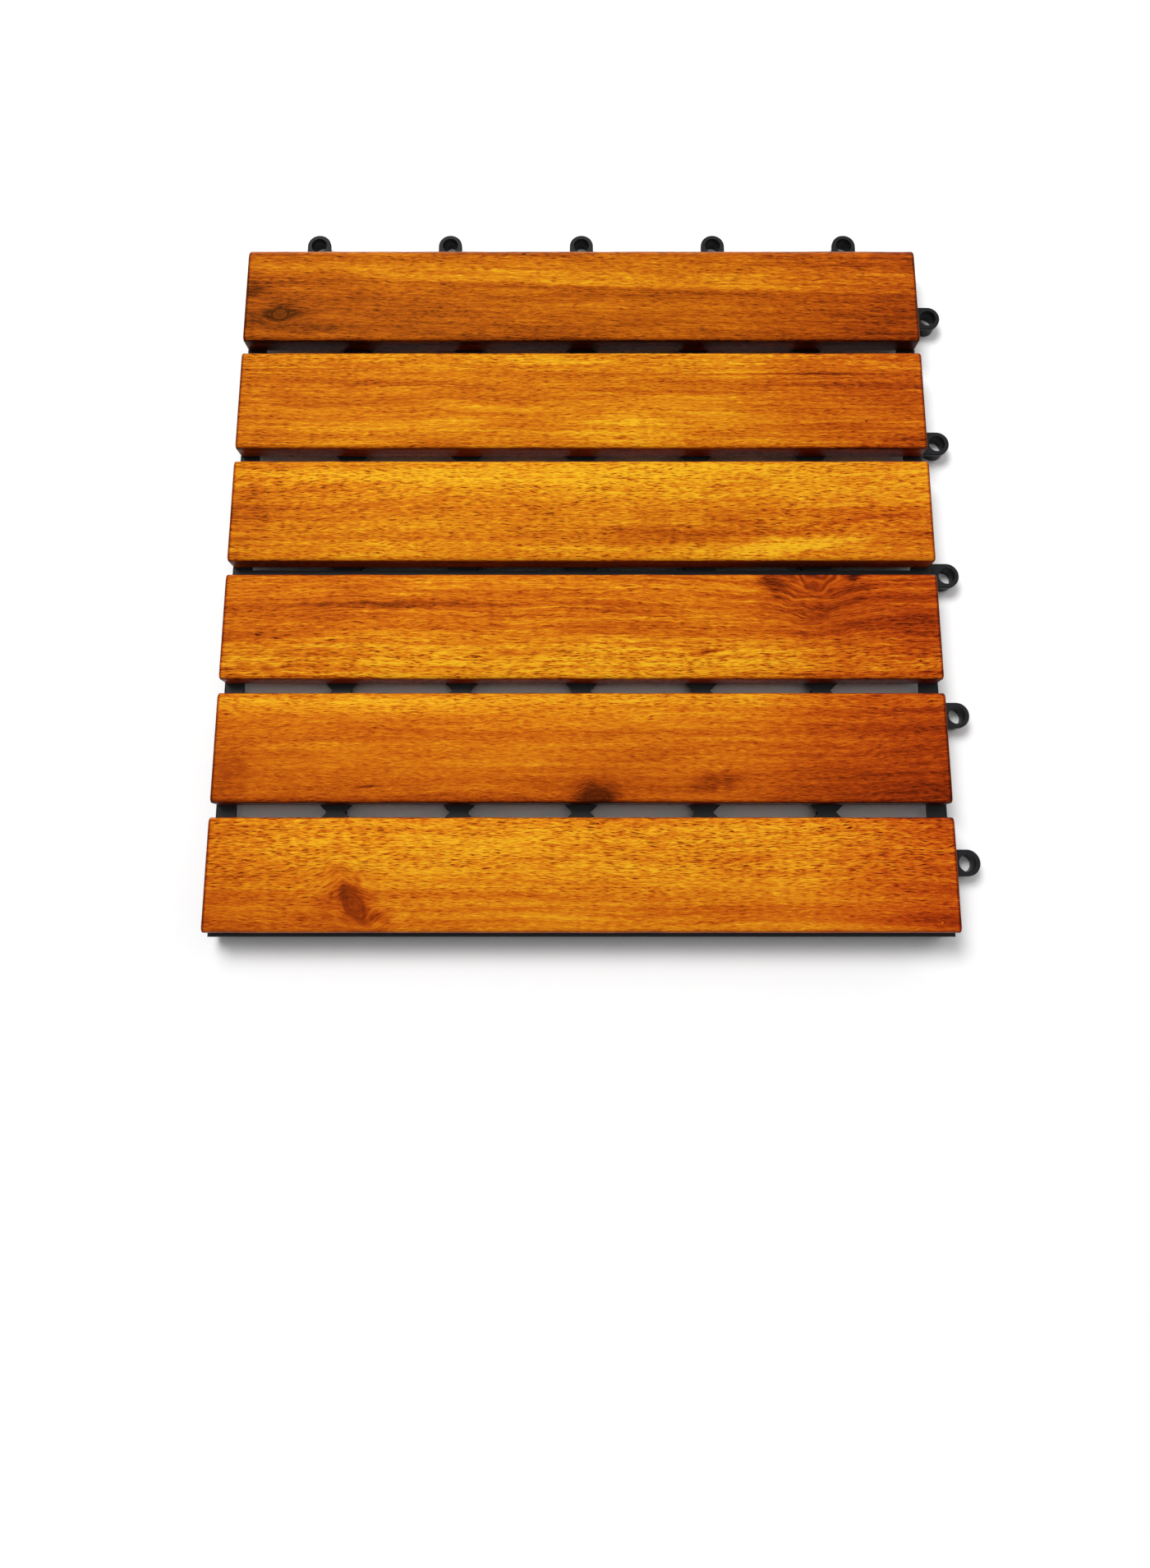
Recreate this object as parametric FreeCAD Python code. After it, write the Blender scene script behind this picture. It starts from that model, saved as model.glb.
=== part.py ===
import os
import FreeCAD
import Part
from math import cos, pi, sin, sqrt

V = FreeCAD.Vector

# Interlocking deck tile: six oiled acacia slats screwed to one moulded grid
# The tile lies on its feet, +Z up, origin on the floor under the grid's centre
# +X runs along the slats; eyes stand out on +X and +Y, pegs hang on -X and -Y
# All sizes are in millimetres

# Slats and the gaps between them, which set the spacing of the whole deck
slat_count = 6
slat_width = 45.0
slat_gap = 5.4
slat_thickness = 12.0
slat_end_margin = 0.5
slat_top_round = 1.8
slat_bottom_round = 1.0
slat_outer_round = 4.0

# Moulded grid
grid_height = 12.0
grid_joint_gap = 2.4
top_plate = 2.2
rib_depth = 6.3
rail_width = 8.2
skirt_wall = 2.0
skirt_step = 0.5
plate_edge_round = 1.0
rib_top_width = 5.1
rib_web = 1.8
cross_rib_top = 3.5
foot_top = 7.0
foot_tip = 5.4
post_width = 6.0
post_depth = 4.6
corner_post = 5.0
post_taper = 0.4
post_inset = 1.0

# Eyes and pegs that lock one tile to the next
eye_count = 5
eye_reach = 7.4
eye_bore = 7.0
eye_rim = 10.7
eye_rim_height = 2.0
eye_edge_chamfer = 0.4
eye_tube = 9.4
eye_neck = 5.0
peg_clearance = 0.4
peg_end_gap = 1.0
peg_tip_chamfer = 0.6
recess_clearance = 2.0

# Screws, driven up from below through bosses under the middle of each slat
screw_shank = 3.5
screw_length = 16.0
screw_head = 7.8
screw_head_height = 2.4
screw_hole_clearance = 0.35
screw_tip_clearance = 0.4
screw_sides = 8
boss_wall = 1.0
screw_rows = (-1, 1)

# Spacings that follow from the sizes above
slat_pitch = slat_width + slat_gap
tile_pitch = slat_count * slat_pitch
grid_side = tile_pitch - grid_joint_gap
half_side = grid_side / 2
slat_length = grid_side - 2 * slat_end_margin
half_cell = slat_pitch / 2
node_span = slat_count
plate_under = grid_height - top_plate
rib_under = grid_height - rib_depth
skirt_out = half_side - skirt_step
skirt_in = skirt_out - skirt_wall
rail_in = half_side - rail_width
eye_pitch = tile_pitch / eye_count
eye_centre = half_side + eye_reach
eye_top = plate_under
peg_centre = eye_centre - tile_pitch
peg_radius = eye_bore / 2 - peg_clearance
recess_half = eye_rim / 2 + recess_clearance
boss_half = screw_head / 2 + boss_wall
screw_reach = (slat_count - 1) * half_cell
slat_tops = grid_height + slat_thickness

# Cutting forms run this far past the faces that they open, and edges are told apart by this much
past = 1.0
tiny = 1e-6


def centred(count, pitch):
    """Places of a row of copies, evenly spaced about zero."""
    return [(i - (count - 1) / 2) * pitch for i in range(count)]


def prism(points, low, high):
    """A flat outline raised from one height to another."""
    corners = [V(x, y, low) for x, y in points]
    outline = Part.makePolygon(corners + corners[:1])
    return Part.Face(outline).extrude(V(0, 0, high - low))


def square(half, low, high):
    return prism([(-half, -half), (half, -half), (half, half), (-half, half)], low, high)


def rod(radius, low, high):
    """An upright rod, round but for the few flat sides that keep small repeated parts light."""
    turns = [2 * pi * i / screw_sides for i in range(screw_sides)]
    return prism([(radius * cos(a), radius * sin(a)) for a in turns], low, high)


def turned(profile):
    """A solid turned about the Z axis from a closed outline of radius and height."""
    corners = [V(r, 0, z) for r, z in profile]
    outline = Part.makePolygon(corners + corners[:1])
    return Part.Face(outline).revolve(V(0, 0, 0), V(0, 0, 1), 360)


def tapered(half_x, half_y, low, high, taper):
    """A leg with four flat sides, narrower at the floor by the taper on every side."""
    foot, head = [
        [V(sx * (half_x - cut), sy * (half_y - cut), z) for sx, sy in ((-1, -1), (1, -1), (1, 1), (-1, 1))]
        for z, cut in ((low, taper), (high, 0.0))
    ]
    outlines = [foot, head] + [[foot[i - 1], foot[i], head[i], head[i - 1]] for i in range(4)]
    faces = [Part.Face(Part.makePolygon(corners + corners[:1])) for corners in outlines]
    return Part.makeSolid(Part.makeShell(faces))


def mirrored_over_diagonal(shape):
    """The same form on the other kind of side: X and Y change places."""
    return shape.mirror(V(0, 0, 0), V(1, -1, 0))


# Grid
def cell_pockets(rib, cross, edge, low, high):
    """The openings of the diagonal lattice, kept inside the edge and off the two straight ribs."""
    reach = half_cell - rib / sqrt(2)
    quarter = prism([(cross / 2, cross / 2), (edge, cross / 2), (edge, edge), (cross / 2, edge)], low, high)
    pockets = []
    for i in range(node_span + 1):
        for j in range(node_span + 1):
            if (i + j) % 2:
                x = i * half_cell
                y = j * half_cell
                diamond = prism([(x - reach, y), (x, y - reach), (x + reach, y), (x, y + reach)], low, high)
                pockets += diamond.common(quarter).Solids
    one_quarter = Part.makeCompound(pockets)
    right_half = [one_quarter, one_quarter.mirror(V(0, 0, 0), V(0, 1, 0))]
    left_half = [half.mirror(V(0, 0, 0), V(1, 0, 0)) for half in right_half]
    return [pocket for half in right_half + left_half for pocket in half.Solids]


def top_lattice():
    """The flat top that the slats lie on: a square with a rounded rim, pierced by the lattice openings."""
    plate = square(half_side, plate_under, grid_height)
    rim = [e for e in plate.Edges if e.BoundBox.ZMin > grid_height - tiny]
    plate = plate.makeFillet(plate_edge_round, rim)
    return plate.cut(cell_pockets(rib_top_width, cross_rib_top, rail_in, plate_under - past, grid_height + past))


def webs_and_skirt():
    """Thin upright webs under every rib, and the upright wall under the outer rail."""
    block = square(skirt_out, rib_under, plate_under)
    return block.cut(cell_pockets(rib_web, rib_web, skirt_in, rib_under - past, plate_under + past))


def feet():
    """A tapered square foot under each crossing of the lattice that lies below a gap."""
    foot = tapered(foot_top / 2, foot_top / 2, 0, rib_under, (foot_top - foot_tip) / 2)
    places = centred(slat_count - 1, slat_pitch)
    return [foot.translated(V(x, y, 0)) for x in places for y in places]


def rail_posts():
    """Posts under the outer rail, midway between the eyes, and one in each corner."""
    depth = skirt_out - post_inset + skirt_step
    post = tapered(post_depth / 2, post_width / 2, 0, rib_under, post_taper)
    corner = tapered(corner_post / 2, corner_post / 2, 0, rib_under, post_taper)
    posts = []
    for side in (-1, 1):
        for y in centred(eye_count - 1, eye_pitch):
            upright = post.translated(V(side * (depth - post_depth / 2), y, 0))
            posts += [upright, mirrored_over_diagonal(upright)]
        for other in (-1, 1):
            at = depth - corner_post / 2
            posts.append(corner.translated(V(side * at, other * at, 0)))
    return posts


def screw_places():
    """One screw near each end of every slat, at a crossing of the lattice."""
    return [V(row * screw_reach, y, 0) for row in screw_rows for y in centred(slat_count, slat_pitch)]


def bosses():
    """A square block of plastic at each of those crossings, wider than the screw's head."""
    return [square(boss_half, rib_under, plate_under).translated(at) for at in screw_places()]


def boss_holes():
    hole = rod(screw_shank / 2 + screw_hole_clearance, rib_under - past, grid_height + past)
    return [hole.translated(at) for at in screw_places()]


def tongue(half, start, centre, low, high):
    """A bar with a round end, from the wall to past the centre of its round end."""
    bar = prism([(start, -half), (centre, -half), (centre, half), (start, half)], low, high)
    end = Part.makeCylinder(half, high - low, V(centre, 0, low))
    return bar.fuse(end).removeSplitter()


def eye():
    """One eye on the +X side: a rim with a round end, on a tube that stands on the floor."""
    rim = tongue(eye_rim / 2, skirt_out, eye_centre, eye_top - eye_rim_height, eye_top)
    outer = [e for e in rim.Edges if e.BoundBox.ZMin > eye_top - tiny and e.BoundBox.XMax > skirt_out + tiny]
    outer = [e for e in outer if e.BoundBox.XMin < e.BoundBox.XMax - tiny]
    rim = rim.makeChamfer(eye_edge_chamfer, outer)
    tube = Part.makeCylinder(eye_tube / 2, eye_top - eye_rim_height, V(eye_centre, 0, 0))
    side = eye_neck / 2
    corners = [(skirt_in, -side), (eye_centre, -side), (eye_centre, side), (skirt_in, side)]
    neck = prism(corners, rib_under, eye_top - eye_rim_height)
    return rim.fuse([tube, neck])


def eye_hole():
    return Part.makeCylinder(eye_bore / 2, eye_top + 2 * past, V(eye_centre, 0, -past))


def peg():
    """One peg on the -X side, hung under the top plate, with a tapered tip."""
    low = peg_end_gap
    tip = peg_radius - peg_tip_chamfer
    return turned([
        (0, low), (tip, low), (peg_radius, low + peg_tip_chamfer), (peg_radius, plate_under), (0, plate_under),
    ]).translated(V(peg_centre, 0, 0))


def eye_recess():
    """The square-cornered room below the top plate that a neighbour's eye slides up into."""
    end = peg_centre + recess_half
    corners = [(-half_side, -recess_half), (end, -recess_half), (end, recess_half), (-half_side, recess_half)]
    return prism(corners, -past, plate_under)


def both_sides(shape):
    """A row of copies along Y, and the same row along X."""
    row = [shape.translated(V(0, y, 0)) for y in centred(eye_count, eye_pitch)]
    return row + [mirrored_over_diagonal(s) for s in row]


def moulded_grid():
    under = webs_and_skirt().fuse(feet() + rail_posts() + bosses())
    under = under.cut(both_sides(eye_recess()))
    grid = top_lattice().fuse([under] + both_sides(eye()) + both_sides(peg()))
    grid = grid.cut(both_sides(eye_hole()) + boss_holes())
    return grid.removeSplitter()


# Slats
def slat(index):
    """One slat with rounded long edges and blind pilot holes in its underside."""
    y = centred(slat_count, slat_pitch)[index]
    low = V(-slat_length / 2, y - slat_width / 2, grid_height)
    board = Part.makeBox(slat_length, slat_width, slat_thickness, low)
    for at_top in (False, True):
        for side in (-1, 1):
            outermost = at_top and side > 0 and index == slat_count - 1
            size = slat_bottom_round
            if at_top:
                size = slat_outer_round if outermost else slat_top_round
            z = slat_tops if at_top else grid_height
            edge = [e for e in board.Edges
                    if e.BoundBox.XLength > slat_length / 2
                    and abs(e.BoundBox.ZMin - z) < tiny
                    and abs(e.BoundBox.YMin - (y + side * slat_width / 2)) < tiny]
            board = board.makeFillet(size, edge)
    pilot = rod(screw_shank / 2, grid_height - past, rib_under + screw_length + screw_tip_clearance)
    return board.cut([pilot.translated(at) for at in screw_places() if abs(at.y - y) < slat_width / 2])


# Screws
def screw():
    """One pan-head screw, pointing up, its head against the underside of a boss."""
    head = rod(screw_head / 2, rib_under - screw_head_height, rib_under)
    shank = rod(screw_shank / 2, rib_under, rib_under + screw_length)
    return head.fuse(shank)


def export(name, shapes):
    solids = [solid for shape in shapes for solid in shape.Solids]
    shape = solids[0] if len(solids) == 1 else Part.makeCompound(solids)
    shape.exportStep("parts/" + name + ".step")


os.makedirs("parts", exist_ok=True)
export("moulded_grid", [moulded_grid()])
for number in range(slat_count):
    export("slat_%d" % (number + 1), [slat(slat_count - 1 - number)])
export("fixing_screws", [screw().translated(at) for at in screw_places()])
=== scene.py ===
import bpy
import bmesh
from math import cos, pi, radians, sin, sqrt
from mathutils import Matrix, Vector, noise


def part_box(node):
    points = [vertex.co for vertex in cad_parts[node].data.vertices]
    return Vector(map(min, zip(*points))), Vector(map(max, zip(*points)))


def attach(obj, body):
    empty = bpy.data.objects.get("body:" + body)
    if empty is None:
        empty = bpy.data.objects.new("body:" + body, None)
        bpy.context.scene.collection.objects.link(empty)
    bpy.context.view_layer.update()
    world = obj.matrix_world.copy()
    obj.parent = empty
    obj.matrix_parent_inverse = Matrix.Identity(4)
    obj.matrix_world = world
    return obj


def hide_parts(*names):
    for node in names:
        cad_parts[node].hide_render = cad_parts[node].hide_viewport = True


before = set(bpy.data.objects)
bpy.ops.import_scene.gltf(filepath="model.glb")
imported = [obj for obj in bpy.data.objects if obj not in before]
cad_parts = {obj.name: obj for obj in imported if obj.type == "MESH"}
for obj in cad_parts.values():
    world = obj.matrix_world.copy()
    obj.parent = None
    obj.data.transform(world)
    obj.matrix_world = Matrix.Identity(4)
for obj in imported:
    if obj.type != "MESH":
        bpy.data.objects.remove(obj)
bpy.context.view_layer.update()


# Camera: above the near edge of the tile, looking steeply down, as in the photograph
# Depth of field is off, and the shift only sets the tile above the middle of the tall picture
picture_width, picture_height = 1400, 1909
slat_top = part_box("slat_1")[1].z
aim = Vector((0.0, 0.0, slat_top))
camera_elevation = radians(75.0)
camera_distance = 0.56
pixels_per_metre = 2894.0
tile_centre_pixel = (707.8, 690.5)
sensor_height = 0.036

lens = pixels_per_metre * camera_distance * sensor_height / picture_height
data = bpy.data.cameras.new("camera")
data.sensor_fit = "VERTICAL"
data.sensor_height = sensor_height * 1000
data.lens = lens * 1000
data.shift_x = -(tile_centre_pixel[0] - picture_width / 2) / picture_height
data.shift_y = (tile_centre_pixel[1] - picture_height / 2) / picture_height
data.clip_start = 0.01
camera = bpy.data.objects.new("camera", data)
camera.location = aim + camera_distance * Vector((0.0, -cos(camera_elevation), sin(camera_elevation)))
camera.rotation_euler = (pi / 2 - camera_elevation, 0.0, 0.0)
bpy.context.scene.collection.objects.link(camera)
bpy.context.scene.camera = camera
bpy.context.scene.view_settings.view_transform = "Standard"


# Floor: a plain sheet of white paper under the tile, which is staging and keeps the tile's shadow
# Away from the tile it shows pure white to the eye, in gloss and through glass only
# It throws no light of its own on the tile
floor_half = 3.0
paper_white = 1.0
fade_start = 0.3
fade_end = 1.1
flecks_per_metre = 900.0


def colour(code):
    """sRGB hex turned linear, as (r, g, b, 1)."""
    parts = [int(code[i:i + 2], 16) / 255 for i in (1, 3, 5)]
    return tuple(p / 12.92 if p <= 0.04045 else ((p + 0.055) / 1.055) ** 2.4 for p in parts) + (1.0,)


def add(tree, kind, inputs=None, **settings):
    """Adds a node with its settings; an input is a value, a socket, or a node for its first output."""
    made = tree.nodes.new("ShaderNode" + kind)
    for name, value in settings.items():
        setattr(made, name, value)
    for place, value in (inputs or {}).items():
        if isinstance(value, bpy.types.Node):
            value = value.outputs[0]
        if isinstance(value, bpy.types.NodeSocket):
            tree.links.new(value, made.inputs[place])
        else:
            made.inputs[place].default_value = value
    return made


def new_material(name):
    """An empty material with a Principled shader on its output."""
    made = bpy.data.materials.new(name)
    made.use_nodes = True
    tree = made.node_tree
    tree.nodes.clear()
    shader = add(tree, "BsdfPrincipled")
    add(tree, "OutputMaterial", {"Surface": shader})
    return made, tree, shader


def seen_ray(tree):
    """1 for rays from the camera, off gloss or through glass, else 0."""
    ray = add(tree, "LightPath").outputs
    seen = add(tree, "Math", {0: ray["Is Camera Ray"], 1: ray["Is Glossy Ray"]}, operation="MAXIMUM")
    return add(tree, "Math", {0: seen, 1: ray["Is Transmission Ray"]}, operation="MAXIMUM")


# Uncoated paper, calendered smooth: matt, nearly white, with flecks of about a millimetre
paper, tree, shader = new_material("white_paper")
flecks = add(tree, "TexNoise", {"Scale": flecks_per_metre, "Detail": 3.0})
tone = add(tree, "MixRGB", {0: flecks, 1: colour("#fafafa"), 2: colour("#fdfdfd")})
tree.links.new(tone.outputs[0], shader.inputs["Base Color"])
shader.inputs["Roughness"].default_value = 0.9
position = add(tree, "NewGeometry").outputs["Position"]
away = add(tree, "VectorMath", {0: position}, operation="LENGTH").outputs["Value"]
fade = {0: away, 1: fade_start, 2: fade_end, 4: paper_white}
white = add(tree, "MapRange", fade, interpolation_type="SMOOTHSTEP")
white = add(tree, "Math", {0: white, 1: seen_ray(tree)}, operation="MULTIPLY")
tree.links.new(white.outputs[0], shader.inputs["Emission Strength"])
shader.inputs["Emission Color"].default_value = (1, 1, 1, 1)
mesh = bpy.data.meshes.new("floor")
corners = [(x * floor_half, y * floor_half, 0) for x, y in ((-1, -1), (1, -1), (1, 1), (-1, 1))]
mesh.from_pydata(corners, [], [(0, 1, 2, 3)])
mesh.materials.append(paper)
floor = bpy.data.objects.new("floor", mesh)
bpy.context.scene.collection.objects.link(floor)


# Light: one large soft box high on the far left, which throws the soft shadows to the right
# A weak box overhead and a weak one on the right lift the shadows, in a dim room
# To the eye, in gloss and through glass the room is as white as the paper
walls_dim = 0.1
walls_bright = 0.5


def soft_box(name, place, size, watts):
    """A square lamp that is turned towards the tile."""
    lamp = bpy.data.lights.new(name, "AREA")
    lamp.shape = "SQUARE"
    lamp.size = size
    lamp.energy = watts
    made = bpy.data.objects.new(name, lamp)
    made.location = place
    made.rotation_euler = (aim - Vector(place)).to_track_quat("-Z", "Y").to_euler()
    bpy.context.scene.collection.objects.link(made)


soft_box("key_light", (-0.42, 0.6, 1.82), 0.7, 29.5)
soft_box("top_light", (0.15, 0.0, 2.0), 0.8, 5.0)
soft_box("fill_light", (1.4, 0.7, 1.2), 1.2, 6.0)

world = bpy.data.worlds.new("room")
world.use_nodes = True
tree = world.node_tree
way = add(tree, "SeparateXYZ", {0: add(tree, "TexCoord").outputs["Generated"]})
walls = add(tree, "MapRange", {0: way.outputs[1], 1: -0.6, 2: 0.8, 3: walls_dim, 4: walls_bright})
seen = add(tree, "Mix", {0: seen_ray(tree), 2: walls, 3: paper_white}, data_type="FLOAT")
tree.links.new(seen.outputs[0], tree.nodes["Background"].inputs["Strength"])
tree.nodes["Background"].inputs["Color"].default_value = (1, 1, 1, 1)
bpy.context.scene.world = world


# Grid: one injection moulding that carries the slats, with feet, ribs, screw bosses, eyes and pegs
# The CAD solid is used as it is, with only its sharp edges broken by a narrow round
# Its eyes and pegs lock into the neighbouring tiles
mm = 0.001
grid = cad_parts["moulded_grid"]
mould_edge = 0.22 * mm
weld_reach = 0.01 * mm
sharp_angle = radians(40)

# Polypropylene, black through and through, from a mould with a fine spark-eroded finish
# It gives a dull satin black, a little cloudy in its shine, with a grit of about 0.4 mm
grit_per_metre = 2600.0
clouds_per_metre = 60.0
grid_plastic, tree, shader = new_material("moulded_polypropylene")
place = add(tree, "TexCoord").outputs["Object"]
grit = add(tree, "TexNoise", {"Vector": place, "Scale": grit_per_metre, "Detail": 3.0})
cloud = add(tree, "TexNoise", {"Vector": place, "Scale": clouds_per_metre, "Detail": 2.0})
tone = add(tree, "MixRGB", {0: cloud, 1: colour("#08080b"), 2: colour("#101115")})
tree.links.new(tone.outputs[0], shader.inputs["Base Color"])
rough = add(tree, "MapRange", {0: cloud, 3: 0.38, 4: 0.52})
tree.links.new(rough.outputs[0], shader.inputs["Roughness"])
shader.inputs["IOR"].default_value = 1.49
shader.inputs["Specular IOR Level"].default_value = 0.14
bump = add(tree, "Bump", {"Height": grit, "Strength": 0.35, "Distance": 0.05 * mm})
tree.links.new(bump.outputs[0], shader.inputs["Normal"])
grid.data.materials.clear()
grid.data.materials.append(grid_plastic)
weld = grid.modifiers.new("one_skin", "WELD")
weld.merge_threshold = weld_reach
edges = grid.modifiers.new("mould_edges", "BEVEL")
edges.width = mould_edge
edges.segments = 2
edges.limit_method = "ANGLE"
edges.angle_limit = sharp_angle
edges.use_clamp_overlap = True


# Slats: six acacia boards of one size, planed, rounded on the long edges and dipped in oil
# Each is a lofted section with eased ends, worn a little unevenly by sanding
# They lie flat on the grid, and two screws from below hold each of them
end_ease = 0.9 * mm
top_round = 1.8 * mm
bottom_round = 1.0 * mm
outer_round = 4.0 * mm
sanding = 0.12 * mm
sanding_waves = (60, 90)
arc_steps = 6
ease_steps = 5
length_steps = 60
usual_rounds = (bottom_round, bottom_round, top_round, top_round)


def board_section(width, thickness, rounds):
    """The section's outline as (across, up) points; rounds are the radii from the near bottom edge on."""
    half = width / 2
    corners = [(-half, 0.0, -1, -1), (half, 0.0, 1, -1), (half, thickness, 1, 1), (-half, thickness, -1, 1)]
    turns = [pi, 1.5 * pi, 0.0, 0.5 * pi]
    points = []
    for (x, z, sx, sz), start, r in zip(corners, turns, rounds):
        for i in range(arc_steps + 1):
            a = start + 0.5 * pi * i / arc_steps
            points.append((x - sx * r + r * cos(a), z - sz * r + r * sin(a)))
    return points


def board(name, rounds, seed):
    """The board that stands for one CAD slat, inside its box, and the middle of its width and height."""
    low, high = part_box(name)
    length, width, thickness = high - low
    middle = (low.y + high.y) / 2
    height = low.z + thickness / 2
    outline = board_section(width, thickness, rounds)
    eased = [end_ease * (1 - cos(0.5 * pi * i / ease_steps)) for i in range(ease_steps + 1)]
    plain = [length * i / length_steps for i in range(1, length_steps)]
    bm = bmesh.new()
    rings = []
    for s in eased + plain + [length - e for e in reversed(eased)]:
        near_end = min(s, length - s)
        inset = 0.0
        if near_end < end_ease:
            inset = end_ease - sqrt(end_ease ** 2 - (end_ease - near_end) ** 2)
        ring = []
        for across, up in outline:
            at = Vector((s * sanding_waves[0], across * sanding_waves[1], up * sanding_waves[1] + seed))
            inward = inset + sanding * (1 + noise.noise(at))
            ring.append(bm.verts.new((
                low.x + s,
                middle + across * (1 - inward / (width / 2)),
                height + (up - thickness / 2) * (1 - inward / (thickness / 2)),
            )))
        rings.append(ring)
    for a, b in zip(rings, rings[1:]):
        for i in range(len(outline)):
            bm.faces.new((a[i - 1], a[i], b[i], b[i - 1]))
    bm.faces.new(list(rings[0]))
    bm.faces.new(list(reversed(rings[-1])))
    bmesh.ops.recalc_face_normals(bm, faces=bm.faces)
    for face in bm.faces:
        face.smooth = len(face.verts) == 4
    mesh = bpy.data.meshes.new(name + "_board")
    bm.to_mesh(mesh)
    bm.free()
    made = bpy.data.objects.new(name + "_board", mesh)
    bpy.context.scene.collection.objects.link(made)
    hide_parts(name)
    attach(made, "root")
    return made, middle, height


# Acacia, planed along the grain and dipped in orange-brown oil, as each board's own material
# It gives golden to red-brown bands with a low satin shine, knots, fibres and dark open pores
# The pores are drawn about half a millimetre wide, coarser than real ones, so that they show
half_width_mm = 22.5
half_length_mm = 150.0
fibre_size = (3.4, 0.34)
pore_sizes = ((6.0, 0.6, 0.31, 21.0), (3.6, 0.4, 0.33, 31.0))
pore_depth = 0.58
# The next two values darken the ends, partly as oil-soaked end grain and partly as painted shade, and the
# sawn sides, as painted shade
end_oil_and_shade = 0.5
side_painted_shade = 0.3
right_end_redder = 2.6
oil_colours = (
    (0.0, "#2e0c04"), (0.15, "#5e2107"), (0.32, "#8a360a"), (0.45, "#a3460c"),
    (0.58, "#b95a0f"), (0.7, "#c66f12"), (0.82, "#d28616"), (1.0, "#e2aa20"),
)


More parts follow.
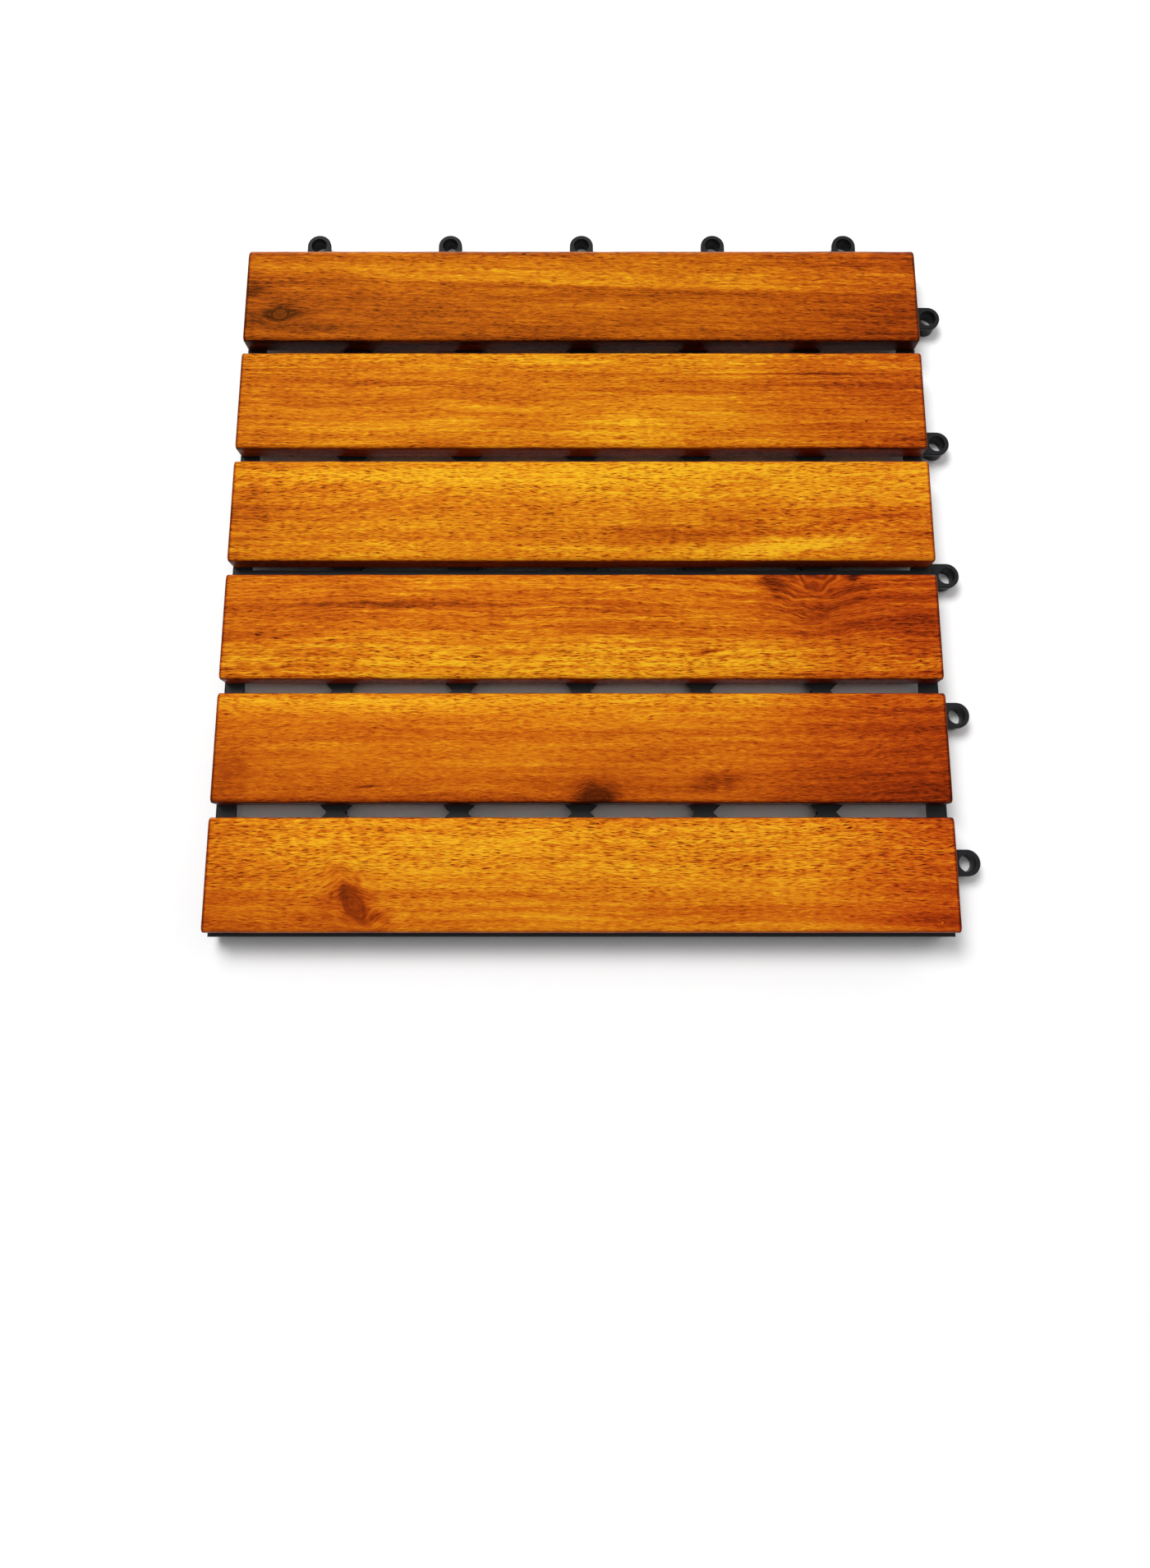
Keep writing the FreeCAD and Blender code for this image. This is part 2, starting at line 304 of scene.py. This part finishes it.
def oiled_acacia(
    name, middle, height, seed, bands, ends, pores, lines, sway, yellow, lean=0.0, knots=(), marks=(),
):
    """Oiled acacia for one board, drawn in millimetres from the board's middle, with +y to its far edge.

    bands and pores are stops of brightness and of pore strength over the width, from near to far, the
    brightness partly the wood's own and partly painted light and shade.
    ends are stops of brightness over the length, left to right, partly the wood's own and partly painted
    shade that darkens the left and right of the board, and lines is the strength of long streaks.
    sway is how far the lanes wander, lean how much they tilt, and yellow the turn of hue in degrees.
    A knot is (x, y, half length, half width, slope, halo, rim, brightness inside, strength of its rings).
    A mark is a dark streak, (x, y, half length, half width, slope, depth), or a bright one below depth 0.
    """
    made, tree, shader = new_material("oiled_acacia_" + name)
    place = add(tree, "TexCoord").outputs["Object"]
    origin = (0, -middle / mm, -height / mm)
    place = add(tree, "Mapping", {"Vector": place, "Location": origin, "Scale": (1 / mm,) * 3})
    u, v, w = add(tree, "SeparateXYZ", {0: place}).outputs

    def maths(operation, a, b=0.0, c=0.0):
        return add(tree, "Math", {0: a, 1: b, 2: c}, operation=operation)

    def plus(a, b, share):
        """a with a share of b, where b swings about one half."""
        return maths("MULTIPLY_ADD", maths("SUBTRACT", b, 0.5), share, a)

    def drawn_out(lane, length, width, shift):
        """A place whose grains are this long and wide, in millimetres."""
        along = maths("MULTIPLY", u, 1 / length)
        across = maths("MULTIPLY", lane, 1 / width)
        up = maths("MULTIPLY_ADD", w, 1 / width, seed * 7.3 + shift)
        return add(tree, "CombineXYZ", {0: along, 1: across, 2: up})

    def streaks(lane, length, width, detail, shift, rough=0.55):
        at = drawn_out(lane, length, width, shift)
        return add(tree, "TexNoise", {"Vector": at, "Scale": 1.0, "Detail": detail, "Roughness": rough})

    def step(value, low, high):
        return add(tree, "MapRange", {0: value, 1: low, 2: high}, interpolation_type="SMOOTHSTEP")

    def spot(x, y, half_length, half_width, slope, bend):
        """How far a point is from the middle of a leaning, bent oval, which is 1 on the oval's edge."""
        dx = maths("SUBTRACT", u, x)
        dy = maths("SUBTRACT", maths("SUBTRACT", v, y), maths("MULTIPLY", dx, slope))
        dy = plus(dy, bend, half_width * 1.2)
        along = maths("MULTIPLY", dx, 1 / half_length)
        across = maths("MULTIPLY", dy, 1 / half_width)
        flat = add(tree, "CombineXYZ", {0: along, 1: across})
        return add(tree, "VectorMath", {0: flat}, operation="LENGTH").outputs["Value"]

    def level(value, stops, reach):
        """A smooth curve through the stops, which are spread evenly from -reach to reach."""
        made = add(tree, "ValToRGB", {0: add(tree, "MapRange", {0: value, 1: -reach, 2: reach})})
        made.color_ramp.interpolation = "CARDINAL"
        while len(made.color_ramp.elements) < len(stops):
            made.color_ramp.elements.new(0.5)
        for i, (element, bright) in enumerate(zip(made.color_ramp.elements, stops)):
            element.position = i / (len(stops) - 1)
            element.color = (bright, bright, bright, 1)
        return made

    # The lanes of the grain wander along the board, and part round each knot
    curl = streaks(v, 7.0, 2.8, 2.0, 13.0)
    bend = streaks(v, 9.0, 9.0, 1.0, 17.0)
    lane = plus(maths("MULTIPLY_ADD", u, lean, v), streaks(v, 85.0, 28.0, 1.0, 11.0), 10.0 * sway)
    lane = plus(lane, curl, 1.5)
    lane = plus(lane, streaks(v, 3.2, 1.5, 1.0, 15.0), 0.5)
    eyes = []
    for x, y, half_length, half_width, slope, halo, rim, inner, ringed in knots:
        away = spot(x, y, half_length, half_width, slope, bend)
        pull = maths("POWER", 2.718, maths("MULTIPLY", maths("MULTIPLY", away, away), -0.35))
        drawn_in = maths("MULTIPLY", maths("MULTIPLY", maths("SUBTRACT", lane, y), pull), 0.8)
        lane = maths("SUBTRACT", lane, drawn_in)
        eyes.append((away, pull, halo, rim, inner, ringed))

    # Brightness: bands and ends of this board, partly its own tone and partly painted light and shade, then
    # clouds, broad and narrow streaks, lines and fibres
    # Each row below is a length and a width in millimetres, the detail, a shift and a share
    tone = maths("MULTIPLY", level(lane, bands, half_width_mm), level(u, ends, half_length_mm))
    tone = maths("SUBTRACT", tone, 0.09)
    for length, width, detail, shift, share in (
        (30.0, 7.0, 2.0, 1.0, 0.25),
        (160.0, 4.0, 2.0, 4.0, 0.5),
        (50.0, 1.6, 3.0, 2.0, 0.2 + 0.6 * lines),
        (42.0, 0.6, 2.0, 6.0, lines),
    ):
        tone = plus(tone, streaks(lane, length, width, detail, shift), share)
    fibre = streaks(lane, *fibre_size, 3.0, 3.0, 0.75)
    tone = plus(tone, fibre, 0.95)
    for away, pull, halo, rim, inner, ringed in eyes:
        tone = maths("SUBTRACT", tone, maths("MULTIPLY", pull, halo))
    for x, y, half_length, half_width, slope, depth in marks:
        mark = step(spot(x, y, half_length, half_width, slope, curl), 1.0, 0.2)
        tone = maths("SUBTRACT", tone, maths("MULTIPLY", mark, depth))

    # Open pores: fine wavering dashes with lighter wood between them, closer in some patches than in others
    patch = step(streaks(lane, 24.0, 8.0, 2.0, 5.0), 0.30, 0.58)
    strength = level(lane, pores, half_width_mm)
    pore = None
    for length, width, size, shift in pore_sizes:
        cells = add(tree, "TexVoronoi", {"Vector": drawn_out(lane, length, width, shift), "Scale": 1.0})
        distance = cells.outputs["Distance"]
        pick = add(tree, "SeparateXYZ", {0: cells.outputs["Color"]}).outputs[0]
        dash = maths("MULTIPLY", step(distance, size, size * 0.5), step(pick, 0.1, 0.6))
        pore = dash if pore is None else maths("MAXIMUM", pore, dash)
        light = maths("MULTIPLY", step(distance, 0.42, 0.62), 0.12)
        tone = maths("MULTIPLY_ADD", light, strength, tone)
    pore = maths("MULTIPLY", maths("MULTIPLY", pore, strength), maths("MULTIPLY_ADD", patch, 0.55, 0.45))
    for away, pull, halo, rim, inner, ringed in eyes:
        pore = maths("MULTIPLY", pore, step(away, 0.9, 1.6))
    tone = maths("SUBTRACT", tone, maths("MULTIPLY", pore, pore_depth))

    # Each knot: an oval of its own brightness with rings, and a thin rim where it meets the board
    for away, pull, halo, rim, inner, ringed in eyes:
        rings = maths("SINE", maths("MULTIPLY", maths("MULTIPLY_ADD", curl, 0.25, away), 19.0))
        core = plus(maths("MULTIPLY_ADD", rings, ringed, inner), fibre, 0.4)
        inside = maths("MULTIPLY", step(away, 1.15, 0.85), 0.85)
        tone = maths("ADD", tone, maths("MULTIPLY", maths("SUBTRACT", core, tone), inside))
        seam = maths("MULTIPLY", step(away, 1.22, 1.04), step(away, 0.82, 1.0))
        tone = maths("SUBTRACT", tone, maths("MULTIPLY", seam, rim))

    # The ends are darker, partly as end grain that drinks more oil and partly as painted shade of the eased
    # ends, and the sawn sides are darker as painted shade, like the shade in the gaps between the slats
    facing = add(tree, "SeparateXYZ", {0: add(tree, "NewGeometry").outputs["Normal"]})
    at_end = step(maths("ABSOLUTE", u), half_length_mm - 2.1, half_length_mm - 0.6)
    side_shade_mask = step(maths("ABSOLUTE", facing.outputs[1]), 0.6, 0.95)
    tone = maths("SUBTRACT", tone, maths("MULTIPLY", at_end, end_oil_and_shade))
    # Painted shade on the sawn sides
    tone = maths("SUBTRACT", tone, maths("MULTIPLY", side_shade_mask, side_painted_shade))
    body = add(tree, "ValToRGB", {0: tone})
    while len(body.color_ramp.elements) < len(oil_colours):
        body.color_ramp.elements.new(0.5)
    for element, (at, code) in zip(body.color_ramp.elements, oil_colours):
        element.position = at
        element.color = colour(code)

    # Each board has its own hue, and the heartwood towards the right end is redder
    to_right = step(u, 30.0, half_length_mm)
    turn = maths("MULTIPLY_ADD", to_right, -right_end_redder / 360, 0.5 + yellow / 360)
    body = add(tree, "HueSaturation", {"Hue": turn, "Color": body})

    # End grain: darker and redder, with arcs of growth rings and the pores as dots
    end = step(maths("ABSOLUTE", facing.outputs[0]), 0.35, 0.8)
    pith = {0: 0.0, 1: maths("ADD", v, 9.0 - 4.0 * seed), 2: maths("ADD", w, 20.0 + seed)}
    radius = add(tree, "VectorMath", {0: add(tree, "CombineXYZ", pith)}, operation="LENGTH").outputs["Value"]
    wobble = add(tree, "TexNoise", {"Vector": place, "Scale": 0.35, "Detail": 3.0})
    arcs = maths("SINE", maths("MULTIPLY", maths("ADD", radius, maths("MULTIPLY", wobble, 4.0)), 2.2))
    dots = step(add(tree, "TexVoronoi", {"Vector": place, "Scale": 1.3}).outputs["Distance"], 0.34, 0.16)
    blotch = add(tree, "TexNoise", {"Vector": place, "Scale": 0.09, "Detail": 2.0})
    end_tone = maths("MULTIPLY_ADD", arcs, 0.10, maths("MULTIPLY_ADD", wobble, 0.7, -0.5))
    end_tone = maths("MULTIPLY_ADD", blotch, 1.3, end_tone)
    end_wood = add(tree, "MixRGB", {0: end_tone, 1: colour("#451204"), 2: colour("#a0480c")})
    end_wood = add(tree, "MixRGB", {0: maths("MULTIPLY", dots, 0.75), 1: end_wood, 2: colour("#240a03")})
    wood = add(tree, "MixRGB", {0: end, 1: body, 2: end_wood})
    tree.links.new(wood.outputs[0], shader.inputs["Base Color"])

    # Oil fills the wood but not the pores, so it is satin with matt specks
    rough = plus(maths("MULTIPLY_ADD", maths("MAXIMUM", pore, end), 0.3, 0.34), fibre, 0.16)
    tree.links.new(rough.outputs[0], shader.inputs["Roughness"])
    shader.inputs["IOR"].default_value = 1.46
    shader.inputs["Specular IOR Level"].default_value = 0.12
    shader.inputs["Specular Tint"].default_value = colour("#f0901e")
    pits = maths("MAXIMUM", pore, maths("MULTIPLY", dots, end))
    dents = maths("SUBTRACT", maths("MULTIPLY", fibre, 0.5), pits)
    bump = add(tree, "Bump", {"Height": dents, "Strength": 0.6, "Distance": 0.15 * mm})
    tree.links.new(bump.outputs[0], shader.inputs["Normal"])
    return made


def dressed_slat(number, rounds, **look):
    """One slat with its own wood; the number also seeds its grain."""
    name = "slat_%d" % number
    made, middle, height = board(name, rounds, number)
    made.data.materials.append(oiled_acacia(name, middle, height, number, **look))


# The bands, ends and yellow of each slat were matched to mean colours of patches of the photograph,
# fifteen to a slat: another script worked out the first bands and ends from them, and the later values
# were typed by hand, after the differences from the patches that two more scripts printed
# These bands and ends so hold painted light and shade besides the wood's own tone, such as the darkening
# towards both ends of every slat

# First slat, at the far side: a golden far band with a sharp edge, a brown near side, and a ringed knot
# by the left end; its outer edge has the larger round
dressed_slat(
    1, (bottom_round, bottom_round, outer_round, top_round),
    lines=0.35, sway=0.2, lean=0.03, yellow=2.3,
    pores=(0.4, 0.4, 0.5, 0.6, 0.7),
    bands=(
        0.43, 0.46, 0.49, 0.50, 0.52, 0.53, 0.53, 0.53, 0.52, 0.47,
        0.72, 0.70, 0.67, 0.63, 0.59, 0.55, 0.49,
    ),
    ends=(0.79, 1.07, 1.08, 0.98, 0.74),
    knots=((-133.6, -9.9, 3.6, 2.9, 0.0, 0.16, 0.26, 0.16, 0.1),),
    marks=(
        (-134.0, -9.5, 22.0, 5.0, 0.05, 0.2),
        (-137.5, -8.6, 5.0, 0.8, 0.1, 0.2),
        (-146.0, 2.5, 8.0, 5.0, 0.0, 0.22),
        (-26.0, 19.8, 1.4, 0.8, 0.0, 0.45),
        (-3.0, -5.6, 1.8, 0.6, 0.6, 0.3),
        (-118.0, -18.0, 14.0, 3.0, 0.1, 0.1),
    ),
)

# Second slat: even golden wood with fine long streaks and a few specks
dressed_slat(
    2, usual_rounds,
    lines=0.5, sway=0.5, yellow=1.4,
    pores=(0.6, 0.5, 0.5, 0.6, 0.8),
    bands=(0.69, 0.75, 0.75, 0.71, 0.66, 0.65, 0.75, 0.79),
    ends=(0.88, 1.06, 1.44, 0.94, 0.76),
    marks=(
        (-95.0, 8.5, 60.0, 2.4, -0.02, 0.16),
        (100.0, 12.0, 52.0, 0.8, 0.0, 0.26),
        (123.5, -10.0, 0.7, 0.6, 0.0, 0.6),
        (17.0, -17.7, 5.0, 1.4, 0.1, 0.24),
        (-140.0, -12.0, 22.0, 9.0, 0.0, 0.08),
        (20.0, -14.0, 36.0, 9.0, 0.0, -0.18),
    ),
)

# Third slat: the most golden one, full of pores, with a bright slanting streak on the right
dressed_slat(
    3, usual_rounds,
    lines=0.25, sway=0.6, yellow=0.9,
    pores=(0.7, 0.8, 0.8, 0.9, 1.0, 1.0, 0.9),
    bands=(0.76, 0.73, 0.68, 0.67, 0.71, 0.79, 0.85, 0.78),
    ends=(0.82, 1.05, 1.08, 1.07, 0.98),
    marks=(
        (38.0, -11.0, 48.0, 8.0, 0.02, 0.18),
        (68.0, -5.0, 22.0, 3.0, -0.12, 0.2),
        (94.0, -15.0, 44.0, 5.5, 0.12, -0.3),
        (-140.0, 0.0, 14.0, 20.0, 0.0, 0.08),
        (120.0, -4.0, 40.0, 1.6, 0.12, 0.16),
    ),
)

# Fourth slat: strong streaks, a golden near band, and half a burl at the far edge on the right
dressed_slat(
    4, usual_rounds,
    lines=0.6, sway=0.9, yellow=-0.2,
    pores=(1.0, 1.0, 0.6, 0.5, 0.5, 0.5),
    bands=(0.69, 0.79, 0.76, 0.70, 0.65, 0.63, 0.68, 0.72),
    ends=(0.90, 1.03, 1.58, 0.99, 0.71),
    knots=((99.0, 24.5, 9.5, 11.0, 0.0, 0.32, -0.08, 0.4, 0.16),),
    marks=(
        (-75.0, 9.0, 60.0, 2.6, 0.0, 0.24),
        (-20.0, 4.0, 50.0, 1.2, 0.01, 0.2),
        (52.0, -11.0, 11.0, 1.4, 0.12, 0.5),
        (80.0, 17.5, 10.0, 7.0, -0.5, 0.32),
        (115.0, 21.5, 5.5, 2.8, 0.3, 0.44),
        (96.0, 22.0, 6.0, 3.0, 0.0, 0.3),
        (140.0, -2.0, 16.0, 18.0, 0.0, 0.1),
    ),
)

# Fifth slat: smooth wood that turns red-brown to the near right, with a dark knot cut by the near edge
dressed_slat(
    5, usual_rounds,
    lines=0.15, sway=0.6, yellow=-0.2,
    pores=(0.3, 0.3, 0.4, 0.5, 0.8),
    bands=(0.47, 0.57, 0.63, 0.67, 0.68, 0.69, 0.76, 0.85),
    ends=(0.93, 1.29, 1.33, 0.96, 0.63),
    knots=((6.3, -20.6, 6.2, 4.2, 0.0, 0.24, 0.0, 0.1, 0.02),),
    marks=(
        (6.0, -18.0, 13.0, 6.0, 0.0, 0.22),
        (54.0, -14.0, 17.0, 6.0, 0.2, 0.21),
        (-86.0, -16.0, 8.0, 0.8, 0.05, 0.34),
        (-142.0, -8.0, 16.0, 14.0, 0.0, 0.1),
    ),
)

# Sixth slat, at the near side: golden and full of pores, with a slanting brown knot and its crack
dressed_slat(
    6, usual_rounds,
    lines=0.25, sway=0.6, yellow=-0.8,
    pores=(0.3, 0.4, 0.6, 0.9, 1.1, 1.1, 0.9),
    bands=(0.71, 0.75, 0.76, 0.76, 0.78, 0.79, 0.82, 0.81),
    ends=(0.82, 1.04, 1.16, 1.09, 0.66),
    knots=((-90.0, -11.4, 5.4, 5.4, -0.8, 0.34, 0.06, 0.26, 0.03),),
    marks=(
        (-93.2, -8.4, 2.0, 4.4, -1.2, 0.5),
        (-88.2, -11.6, 1.6, 3.4, -0.8, -0.12),
        (-88.5, -2.5, 2.4, 5.0, 0.0, 0.14),
        (-80.0, -16.5, 8.0, 3.4, -0.3, 0.18),
        (-101.0, -12.5, 8.0, 3.0, 0.2, 0.16),
        (-103.0, -18.0, 16.0, 4.0, 0.0, 0.1),
        (141.8, -18.6, 0.8, 0.6, 0.0, -0.4),
    ),
)


# Screws: twelve pan-head self-tapping screws of steel, two to a slat, driven up from below
# The heads are cold forged with a cross recess, and the threads are rolled and end in a point
# The heads bear on the grid's bosses and the threads bite into the wood
screw_low, screw_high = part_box("fixing_screws")
head_radius = 3.9 * mm
head_height = 2.4 * mm
head_rings = 18
neck_length = 1.2 * mm
shank_radius = 1.72 * mm
core_radius = 1.25 * mm
thread_pitch = 1.5 * mm
steps_per_pitch = 8
point_length = 3.5 * mm
recess_radius = 2.1 * mm
recess_depth = 1.5 * mm
arm_half_width = 0.62 * mm
arm_draft = 0.22 * mm
arm_run = 0.9 * mm
sides = 32
rows = 6


def recess(x, y):
    """How deep the cross recess is at a point of the head, from 0 to 1."""
    arm = min(abs(x), abs(y))
    reach = max(abs(x), abs(y))
    wall = max(0.0, min(1.0, (arm_half_width - arm) / arm_draft))
    slope = max(0.0, min(1.0, (recess_radius - reach) / arm_run))
    return wall * slope


def screw_rings():
    """The screw from the middle of its head to its point, as rings of (x, y, height)."""
    rings = []
    turns = [2 * pi * i / sides for i in range(sides)]
    for i in range(1, head_rings + 1):
        r = head_radius * (1 - (1 - i / head_rings) ** 1.3)
        dome = head_height * 0.75 * (1 - sqrt(max(0.0, 1 - (0.97 * r / head_radius) ** 2)))
        points = [(r * cos(a), r * sin(a)) for a in turns]
        rings.append([(x, y, dome + recess_depth * recess(x, y)) for x, y in points])
    start, end = head_height + neck_length, screw_high.z - screw_low.z
    for r, z in (
        (head_radius, head_height * 0.86),
        (head_radius * 0.985, head_height),
        (shank_radius, head_height),
        (shank_radius, start),
    ):
        rings.append([(r * cos(a), r * sin(a), z) for a in turns])
    steps = int((end - start) / thread_pitch * steps_per_pitch)
    for i in range(1, steps + 1):
        z = start + (end - start) * i / steps
        point = min(1.0, (end - z) / point_length + 0.04)
        ring = []
        for a in turns:
            phase = (z / thread_pitch - a / (2 * pi)) % 1.0
            crest = max(0.0, 1 - abs(phase - 0.5) / 0.22)
            r = point * (core_radius + (shank_radius - core_radius) * crest)
            ring.append((r * cos(a), r * sin(a), z))
        rings.append(ring)
    return rings


mesh = bpy.data.meshes.new("pan_head_screws")
bm = bmesh.new()
row_reach = (screw_high.x - screw_low.x) / 2 - head_radius
rows_apart = (screw_high.y - screw_low.y - 2 * head_radius) / (rows - 1)
for side in (-1, 1):
    for row in range(rows):
        at = Vector((side * row_reach, (row - (rows - 1) / 2) * rows_apart, screw_low.z))
        turn = 0.9 * row + 2.3 * side
        rings = []
        for ring in screw_rings():
            turned = [(x * cos(turn) - y * sin(turn), x * sin(turn) + y * cos(turn), z) for x, y, z in ring]
            rings.append([bm.verts.new(at + Vector(point)) for point in turned])
        middle = bm.verts.new(at + Vector((0, 0, recess_depth)))
        for i in range(sides):
            bm.faces.new((middle, rings[0][i], rings[0][i - 1]))
        for a, b in zip(rings, rings[1:]):
            for i in range(sides):
                bm.faces.new((a[i - 1], a[i], b[i], b[i - 1]))
        bm.faces.new(list(rings[-1]))
bmesh.ops.recalc_face_normals(bm, faces=bm.faces)
for face in bm.faces:
    face.smooth = True
for edge in bm.edges:
    edge.smooth = len(edge.link_faces) != 2 or edge.calc_face_angle(0.0) < radians(38)
bm.to_mesh(mesh)
bm.free()
screws = bpy.data.objects.new("pan_head_screws", mesh)
bpy.context.scene.collection.objects.link(screws)
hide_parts("fixing_screws")
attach(screws, "root")

# Steel, barrel plated with bright zinc: a silvery shine with a faint blue and yellow bloom
# Fine scuffs from the barrel, about 0.4 mm apart, blur the shine a little
bloom_per_metre = 420.0
scuffs_per_metre = 2400.0
zinc, tree, shader = new_material("zinc_plated_steel")
place = add(tree, "TexCoord").outputs["Object"]
bloom = add(tree, "TexNoise", {"Vector": place, "Scale": bloom_per_metre, "Detail": 2.0})
tone = add(tree, "MixRGB", {0: bloom, 1: colour("#aab0b8"), 2: colour("#c9c4b4")})
tree.links.new(tone.outputs[0], shader.inputs["Base Color"])
shader.inputs["Metallic"].default_value = 1.0
scuffs = add(tree, "TexNoise", {"Vector": place, "Scale": scuffs_per_metre, "Detail": 3.0})
rough = add(tree, "MapRange", {0: scuffs, 3: 0.24, 4: 0.46})
tree.links.new(rough.outputs[0], shader.inputs["Roughness"])
bump = add(tree, "Bump", {"Height": scuffs, "Strength": 0.3, "Distance": 0.02 * mm})
tree.links.new(bump.outputs[0], shader.inputs["Normal"])
mesh.materials.append(zinc)
